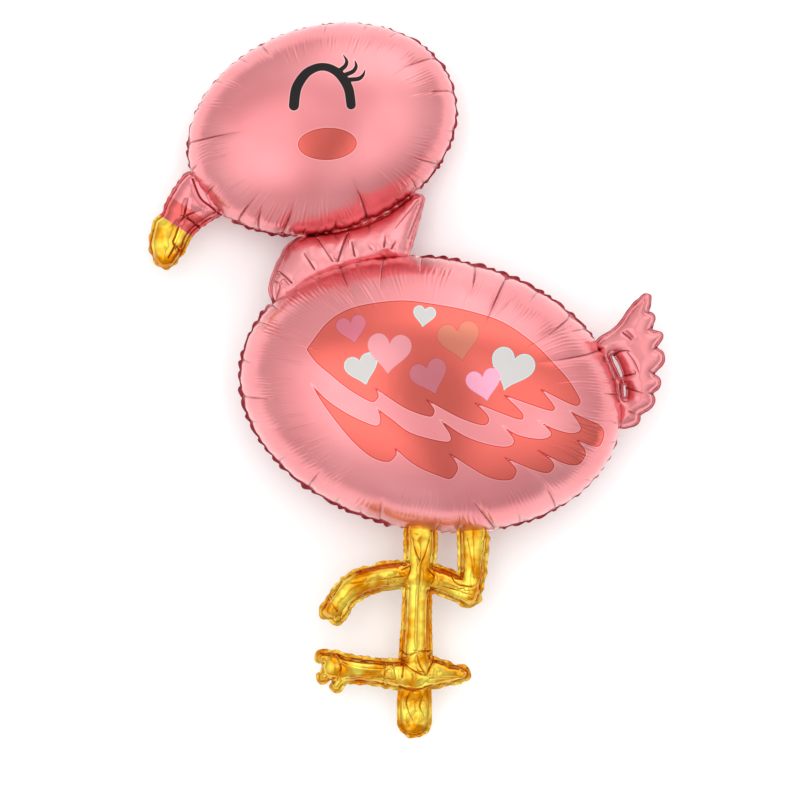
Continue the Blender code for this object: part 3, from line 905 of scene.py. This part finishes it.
def finishChamber(piece, look, away, material):
    rest = pointsOf(piece.data)
    spots = rest[:, :2]
    distance = away(spots)
    points = rest.copy()
    bumps = speckle(spots, look["lobe"] * 1.5, look["seed"] + 3) * look["bumps"]
    points[:, 2] += np.where(distance < -1e-4, bumps * np.sign(rest[:, 2]), 0.0)
    setPoints(piece, points)
    points = blowUp(piece, distance > -1e-4, look["slack"])
    crumpled = np.full(len(spots), look["crumpled"])
    for x, y, reach in look["joints"]:
        gap = np.hypot(*(spots - fromPhoto((x, y))).T) / (reach * metre)
        crumpled = np.maximum(crumpled, np.exp(-gap**2))
    points = rest + (points - rest) * crumpled[:, None]
    nearest, depth = creaseField(spots, look["creases"])
    sunk = look["creaseDepth"] * depth * np.exp(-np.abs(nearest) / 0.0035) * fadeIn(-distance, 0.0, 0.003)
    points[:, 2] -= np.sign(rest[:, 2]) * sunk
    points[:, 2] = look["cap"] * np.tanh(points[:, 2] / look["cap"])
    ripple = speckle(spots, look["lobe"], look["seed"] + 5) * look["ripple"] * uneven(look, spots)
    near = np.exp(-np.maximum(0.0, -distance) / 0.004)
    points[:, 2] += ripple * near * fadeIn(distance, -0.02, look["flange"] * 0.8)
    points[:, 2] += seamLevel(points[:, 0], points[:, 1])
    points[:, 2] = np.maximum(points[:, 2], 0.0005)
    setPoints(piece, points)
    # rim, scaled by rimTint, marks the welded edge and pinch the film beside the seam: masks for painted shade there
    addValues(piece, "rim", np.clip(distance / look["flange"] * 1.6, 0.0, 1.0) * look["rimTint"])
    addValues(piece, "pinch", np.exp(-np.abs(distance) / 0.0034))
    addValues(piece, "crease", 1000 * nearest)
    addValues(piece, "creaseDepth", depth)
    smoother = piece.modifiers.new("smooth", "SUBSURF")
    smoother.levels = smoother.render_levels = 1
    finishPiece(piece, material)


legs = {
    "name": "legs", "corners": ((304, 516), (500, 744)), "cell": 0.0023, "flange": 0.0068, "lobe": 0.011,
    "ragged": 0.24, "ripple": 0.0016, "bumps": 0.0004, "seed": 21, "slack": 0.04,
    "notches": [(346, 572), (337, 580), (329, 590), (358, 567), (371, 566), (330, 604), (441, 664), (455, 666),
                (321, 668), (330, 684)],
    "calm": [[(398, 592), (398, 648)], [(434, 606), (434, 648)], [(440, 530), (441, 558)], [(454, 530), (456, 560)],
             [(396, 592), (370, 599), (352, 617)], [(397, 692), (397, 724)], [(432, 692), (432, 724)]],
    "cap": 0.024, "rimTint": 0.75, "crumpled": 0.08, "creaseDepth": 0.0016, "blend": 0.0016,
    "joints": [(405, 573, 16), (431, 575, 14), (470, 588, 18), (330, 612, 16), (415, 676, 22), (325, 668, 14),
               (466, 676, 12), (414, 712, 26), (420, 532, 10)],
    "creases": [
        [(412, 536, 0.8), (415, 550, 0.9), (420, 562, 1.0)], [(430, 536, 0.6), (426, 552, 0.7), (421, 563, 1.0)],
        [(420.6, 564, 0.9), (418.6, 590, 0.7), (417.6, 620, 0.6), (417, 650, 0.7)], [(428, 592, 0.3), (427, 648, 0.4)],
        [(402, 569, 0.8), (410, 566, 1.0), (407, 577, 0.7), (404, 583, 0.4)],
        [(428, 569, 0.7), (434, 575, 1.0), (431, 584, 0.7)],
        [(351.4, 583, 0.5), (370, 581, 0.6), (404.8, 576, 0.8)], [(366, 579, 0.7), (368, 586, 0.4)],
        [(387, 578, 0.7), (389, 585, 0.4)],
        [(345, 575, 0.3), (334, 595, 0.6), (329, 603, 0.4)], [(328, 599, 0.5), (338, 612, 1.0)],
        [(450, 568, 0.4), (456, 583, 0.9), (474, 586, 0.9), (477, 578, 0.6)],
        [(467, 538, 0.5), (471, 560, 0.4), (474, 577, 0.9)],
        [(483, 540, 0.5), (480, 590, 0.5)], [(437, 585, 0.5), (452, 589, 0.8), (472, 595, 0.5)],
        [(336, 656, 0.6), (341, 668, 0.9), (337, 682, 0.6)], [(342, 662, 0.5), (360, 668, 0.4), (390, 670, 0.6)],
        [(345, 680, 0.5), (371, 677, 0.7), (396, 681, 0.8)], [(386, 665, 0.9), (383, 686, 0.7)],
        [(393, 664, 0.7), (396, 684, 0.6)],
        [(401, 652, 0.8), (408, 656, 1.0), (418, 652, 0.8), (431, 652, 0.9)],
        [(426, 677, 1.0), (432, 663, 0.9), (434, 652, 0.4)],
        [(402, 679, 0.9), (404, 663, 0.8), (410, 654, 0.4)], [(402, 663, 0.6), (413, 671, 1.0), (426, 677, 1.0)],
        [(417, 654, 0.6), (419, 664, 0.9), (426, 676, 0.9)], [(430, 679, 0.8), (464, 677, 0.5)],
        [(399, 689, 0.8), (414, 692, 1.0), (432, 686, 0.8)], [(410, 694, 0.6), (406, 706, 0.9), (412, 722, 0.4)],
        [(424, 696, 0.4), (419, 708, 0.9), (424, 718, 0.5)],
    ],
    "limbs": {
        "standing": {"path": [(420.5, 520, 27), (420.5, 546, 27), (419, 570, 25), (417, 606, 23),
                              (416.3, 630, 24.5), (416, 652, 27), (416, 677, 29)], "deep": 0.031},
        "thigh": {"path": [(473, 522, 27), (473, 550, 24), (472, 574, 22), (468.5, 595, 19)], "deep": 0.028},
        "shin": {"path": [(469, 595, 18), (456, 587.5, 22), (444, 582, 23), (432, 578, 23), (420, 575, 22),
                          (400, 574.5, 23), (376, 578, 23), (356, 585.5, 24), (342, 598, 21),
                          (333, 610, 18)], "deep": 0.028},
        "frontToe": {"path": [(414, 678, 28), (390, 675, 24), (375, 673, 22), (360, 671.5, 22), (345, 670, 24),
                              (335, 668, 25)], "deep": 0.030},
        "backToe": {"path": [(418, 676, 28), (435, 674, 26), (445, 675, 20), (456, 675, 15),
                             (464, 675, 9)], "deep": 0.026},
        "tab": {"path": [(415, 686, 25), (414.5, 702, 28), (414.5, 723.5, 28)], "deep": 0.011},
        "toeTop": {"path": [(335, 661, 12), (321.5, 658, 9)], "deep": 0.016},
        "toeMiddle": {"path": [(334, 672, 12), (322.5, 679, 8)], "deep": 0.014},
        "toeLow": {"path": [(341, 677, 13), (335.5, 688, 8)], "deep": 0.014},
        "footTip": {"path": [(334, 608, 10), (325.5, 612, 8)], "deep": 0.012},
        "footTipLow": {"path": [(343, 609, 10), (337, 619, 8)], "deep": 0.012},
    },
}
neck = {
    "name": "neck", "cell": 0.0023, "corners": ((262, 190), (430, 325)), "flange": 0.0042, "lobe": 0.016,
    "ragged": 0.12, "ripple": 0.0008, "bumps": 0.0006, "seed": 31, "slack": 0.05,
    "cap": 0.032, "deep": 0.046, "wide": 0.030, "rimTint": 0.60, "crumpled": 0.22, "creaseDepth": 0.0030,
    "joints": [(281, 288, 14), (386, 250, 12), (400, 252, 8)],
    "creases": [
        [(348, 233, 1.0), (343, 247, 1.0), (338.5, 262, 1.0)], [(318, 239, 0.6), (324, 248, 0.5), (333, 262, 0.7)],
        [(352, 242, 0.6), (355, 257, 1.0)], [(304.8, 254, 0.5), (315, 270, 1.0)], [(280.6, 272, 0.8), (293, 284, 1.0)],
        [(296, 237, 0.6), (286, 253, 0.8), (277, 273, 1.0), (272.5, 291, 1.0), (274, 306, 0.8)],
        [(275, 305, 0.9), (281, 290, 0.8), (281, 284, 0.5), (288, 287, 0.3)], [(281, 284, 0.6), (275, 281, 0.8)],
        [(391, 250, 0.8), (396, 242, 0.5)], [(385, 236, 0.4), (384, 248, 0.9)], [(408, 240, 0.6), (422, 203, 0.8)],
        [(395, 228, 0.2), (418, 201, 0.7)], [(366, 243, 0.3), (372, 251, 0.6)],
    ],
    "outline": [
        [(305, 232), (345, 226), (378, 214), (402, 198), (412, 191), (425, 193)],
        [(425, 193), (426, 200), (418, 230), (409, 262)],
        [(409, 262), (380, 264), (350, 272), (322, 285), (300, 304), (288, 322)],
        [(288, 322), (277, 311), (269, 298), (268, 284), (272, 271), (277, 259), (284, 246)],
        [(284, 246), (292, 239), (305, 232)],
    ],
}
tail = {
    "name": "tail", "cell": 0.0021, "corners": ((588, 286), (670, 436)), "flange": 0.0040, "lobe": 0.014,
    "ragged": 0.10, "ripple": 0.0008, "bumps": 0.0006, "seed": 41, "slack": 0.05,
    "cap": 0.026, "deep": 0.034, "wide": 0.022, "rimTint": 1.0, "crumpled": 0.12, "creaseDepth": 0.0026,
    "joints": [(630, 337, 8), (632, 412, 10)],
    "creases": [
        [(622, 333, 0.8), (630, 340, 0.9)], [(626, 331, 0.4), (632, 338, 0.6)],
        [(612, 357, 0.9), (618, 352, 0.8), (627, 351, 0.5)], [(625, 352, 0.4), (633, 362, 0.6), (637.5, 373, 0.4)],
        [(624, 376, 1.0), (634, 373.8, 0.5)], [(626, 388, 1.0), (634, 391, 0.7), (642.5, 394, 0.5)],
        [(628, 411, 0.8), (635, 414, 0.5)], [(646, 331, 0.3), (653, 327, 0.8)], [(650, 350, 0.3), (658, 347, 0.8)],
        [(647, 371, 0.4), (655, 374, 0.8)], [(646, 392, 0.3), (653, 394, 0.7)],
        [(644, 296, 0.2), (643, 310, 0.5), (648, 313, 0.7)],
    ],
    "outline": [
        [(590, 345), (599, 336), (608, 330.5), (617, 323), (624, 313), (631, 303.5), (639, 296), (646, 291.5),
         (650.5, 293), (652.5, 300), (650, 311)],
        [(650, 311), (655, 314), (656, 320), (653, 329)],
        [(653, 329), (662, 331.5), (664, 338), (658, 347)],
        [(658, 347), (664.5, 352), (665, 363), (655.5, 374)],
        [(655.5, 374), (661, 378), (661, 387), (654, 394)],
        [(654, 394), (656, 399), (653, 408), (641, 416)],
        [(641, 416), (641, 421), (635, 427), (621, 430), (612, 425)],
        [(612, 425), (612, 395), (604, 370), (590, 345)],
    ],
    "slits": [[(612.5, 357, 2.8), (617, 366, 4.0), (621, 376, 3.2)],
    [(623.8, 386, 2.4), (624.3, 391, 3.2), (624.5, 396, 2.4)]],
}
beak = {
    "name": "beak", "cell": 0.0019, "corners": ((140, 160), (232, 276)), "flange": 0.0052, "lobe": 0.012,
    "ragged": 0.16, "ripple": 0.0012, "bumps": 0.0006, "seed": 51, "slack": 0.05,
    "cap": 0.025, "deep": 0.036, "wide": 0.018, "rimTint": 0.7, "crumpled": 0.10, "creaseDepth": 0.0022,
    "joints": [(150, 262, 8), (166, 267, 8), (188, 215, 8)],
    "creases": [
        [(178, 227, 0.8), (175, 236, 1.0), (173, 243, 0.9), (181, 250, 0.6)],
        [(175, 245, 0.9), (171, 252, 0.9), (168, 258, 0.7)],
        [(184.4, 216, 1.0), (193, 212, 0.7), (202, 210, 0.4)], [(184.4, 216, 1.0), (192, 221, 0.9), (200, 228, 0.6)],
        [(187.5, 198, 0.4), (184, 215, 0.9)], [(175, 227, 0.3), (184, 216, 0.8)],
        [(192, 178, 1.0), (199.7, 197, 1.0), (210, 206, 1.0), (220, 214, 1.0)], [(181, 257, 0.5), (177, 263, 0.7)],
    ],
    "printEdge": (0.70, 0.12, 0.30), "red": (0.62, 0.085, 0.07),
    "notches": [(156, 230), (152, 243.5), (153, 256), (160, 266), (172, 266), (166, 214), (178, 258)],
    "outline": [
        [(214, 170), (191, 168), (180, 174), (169, 190), (162, 203)],
        [(162, 203), (158.5, 212), (151.5, 218), (148, 230), (145.5, 244), (148.5, 258), (155.5, 268), (164, 271),
         (173, 268), (181, 259), (187, 248), (193, 236), (205, 225), (226, 213)],
        [(226, 213), (222, 190), (214, 170)],
    ],
    "printLine": ((163, 217), (192, 236)),
}


def makeLegs():
    limbs = [(photoStroke(limb["path"]), limb["deep"]) for limb in legs["limbs"].values()]

    def away(spots):
        total = np.zeros(len(spots))
        for stroke, _ in limbs:
            total += np.exp(-strokeDistance(spots, stroke)[0] / legs["blend"])
        return -legs["blend"] * np.log(total + 1e-60)

    def rise(spots):
        total = np.zeros(len(spots))
        for stroke, deep in limbs:
            distance, half = strokeDistance(spots, stroke)
            share = np.clip(1.0 + distance / np.maximum(half, 1e-4), 0.0, 1.0)
            total += (deep / 2 * np.sqrt(1.0 - share * share)) ** 4
        return total ** 0.25

    piece = makeSheet(legs, away, rise)
    finishChamber(piece, legs, away, plainFoil("goldFoil", goldLook))


def makeChamber(look, material):
    outline = photoOutline(look["outline"], 6)
    slits = [photoStroke(slit) for slit in look.get("slits", ())]

    def away(spots):
        distance = outlineDistance(spots, outline) + look["flange"]
        for slit in slits:
            distance = np.maximum(distance, -strokeDistance(spots, slit)[0] + 0.6 * look["flange"])
        return distance

    def rise(spots):
        share = np.clip(-away(spots) / look["wide"], 0.0, 1.0)
        return look["deep"] / 2 * np.sqrt(1.0 - (1.0 - share) ** 2)

    piece = makeSheet(look, away, rise)
    if "printLine" in look:
        start, end = (np.array(fromPhoto(spot)) for spot in look["printLine"])
        run = (end - start) / np.hypot(*(end - start))
        spots = pointsOf(piece.data)[:, :2] - start
        addValues(piece, "gold", 1000 * (spots[:, 0] * -run[1] + spots[:, 1] * run[0]) * -1.0)
    finishChamber(piece, look, away, material)


def beakFoil():
    finish = Finish("beakFoil")
    beyond = finish.attribute("gold")  # millimetres beyond the printed line, above zero on the gold tip
    colour = finish.mix(beyond.step(-29.0, -27.0) * 0.8, foilBase(finish, pinkLook), beak["red"])
    colour = finish.mix(beyond.step(-0.3, 0.3), colour, foilBase(finish, goldLook))
    colour = finish.mix(beyond.band(-0.5, 0.4, 0.3) * 0.8, colour, beak["printEdge"])
    colour, folds = creased(finish, pinkLook, colour)
    normal = finish.bump(foilSurface(finish, goldLook) + folds, 0.001)
    return finish.set(Base_Color=colour, Metallic=1.0, Roughness=0.12, Normal=normal)


makeLegs()
pinkFoil = plainFoil("pinkFoil", pinkLook)
makeChamber(neck, pinkFoil)
makeChamber(tail, pinkFoil)
makeChamber(beak, beakFoil())
bodyPiece = makeOval(body)
printWing(bodyPiece)
finishPiece(bodyPiece, bodyFoil())
headPiece = makeOval(head)
printFace(headPiece)
finishPiece(headPiece, headFoil())


# Studio: pale floor, large soft lights on both sides and over the head, and the camera straight above

studio = {
    "floorSize": 30.0, "floorColour": (0.94, 0.94, 0.94), "fill": 78.0, "around": 0.84,
    "leftBox": 0.72, "rightBox": 0.46, "headBox": 0.70, "darkStrip": 0.20, "shadeLow": 0.24, "horizon": 0.78,
}


def makeStudio():
    bm = bmesh.new()
    bmesh.ops.create_grid(bm, x_segments=1, y_segments=1, size=studio["floorSize"] / 2)
    floor = newPiece("floor", bm)
    finish = Finish("paleFloor")
    floor.data.materials.append(finish.set(Base_Color=studio["floorColour"], Roughness=0.9))
    world = bpy.data.worlds.new("studio")
    bpy.context.scene.world = world
    world.use_nodes = True
    sky = Nodes(world.node_tree)
    direction = sky.node("ShaderNodeTexCoord", {}, {}).outputs["Generated"]
    split = sky.node("ShaderNodeSeparateXYZ", {}, {"Vector": direction})
    x, y, up = (Value(sky.tree, socket) for socket in split.outputs)
    low = y * -1.0
    level = (1.0 - y.step(0.14, 0.42)) * (1.0 - low.step(0.25, 0.70))
    left = (x * -1.0).step(0.03, 0.14) * (1.0 - (x * -1.0).step(0.45, 0.90)) * level
    right = x.step(0.07, 0.18) * (1.0 - x.step(0.48, 0.85)) * level
    over = y.step(0.32, 0.55) * x.step(-0.30, 0.12) * (1.0 - x.step(0.62, 0.80))
    strip = (1.0 - (x - 0.02).maths("ABSOLUTE").step(0.025, 0.075)) * (1.0 - y.step(0.05, 0.25))
    light = left * studio["leftBox"] + right * studio["rightBox"] + over * studio["headBox"] + studio["around"]
    light = light - strip * studio["darkStrip"] - low.step(0.25, 0.75) * x.step(0.0, 0.60) * studio["shadeLow"]
    light = light * (up.step(0.02, 0.40) * (1.0 - studio["horizon"]) + studio["horizon"])
    background = sky.tree.nodes["Background"]
    sky.feed(background.inputs["Strength"], light)
    sky.feed(background.inputs["Color"], (1.0, 1.0, 1.0, 1.0))


def softLight(name, spot, size, power):
    light = bpy.data.lights.new(name, "AREA")
    light.shape = "RECTANGLE"
    light.size, light.size_y = size
    light.energy = power
    lamp = bpy.data.objects.new(name, light)
    lamp.location = spot
    lamp.rotation_euler = (-Vector(spot)).to_track_quat("-Z", "Y").to_euler()
    lamp.visible_glossy = False
    bpy.context.scene.collection.objects.link(lamp)


def makeCamera():
    lens = bpy.data.cameras.new("camera")
    lens.sensor_width = 36.0
    lens.lens = 36.0 * (camera["height"] - camera["seam"]) / (camera["frame"] * metre)
    holder = bpy.data.objects.new("camera", lens)
    holder.location = (*fromPhoto(camera["over"]), camera["height"])
    bpy.context.scene.collection.objects.link(holder)
    bpy.context.scene.camera = holder


makeStudio()
softLight("fill", (0.0, 0.6, 4.6), (3.0, 3.0), studio["fill"])
makeCamera()
bpy.context.scene.view_settings.view_transform = "Standard"
print("studio ready")
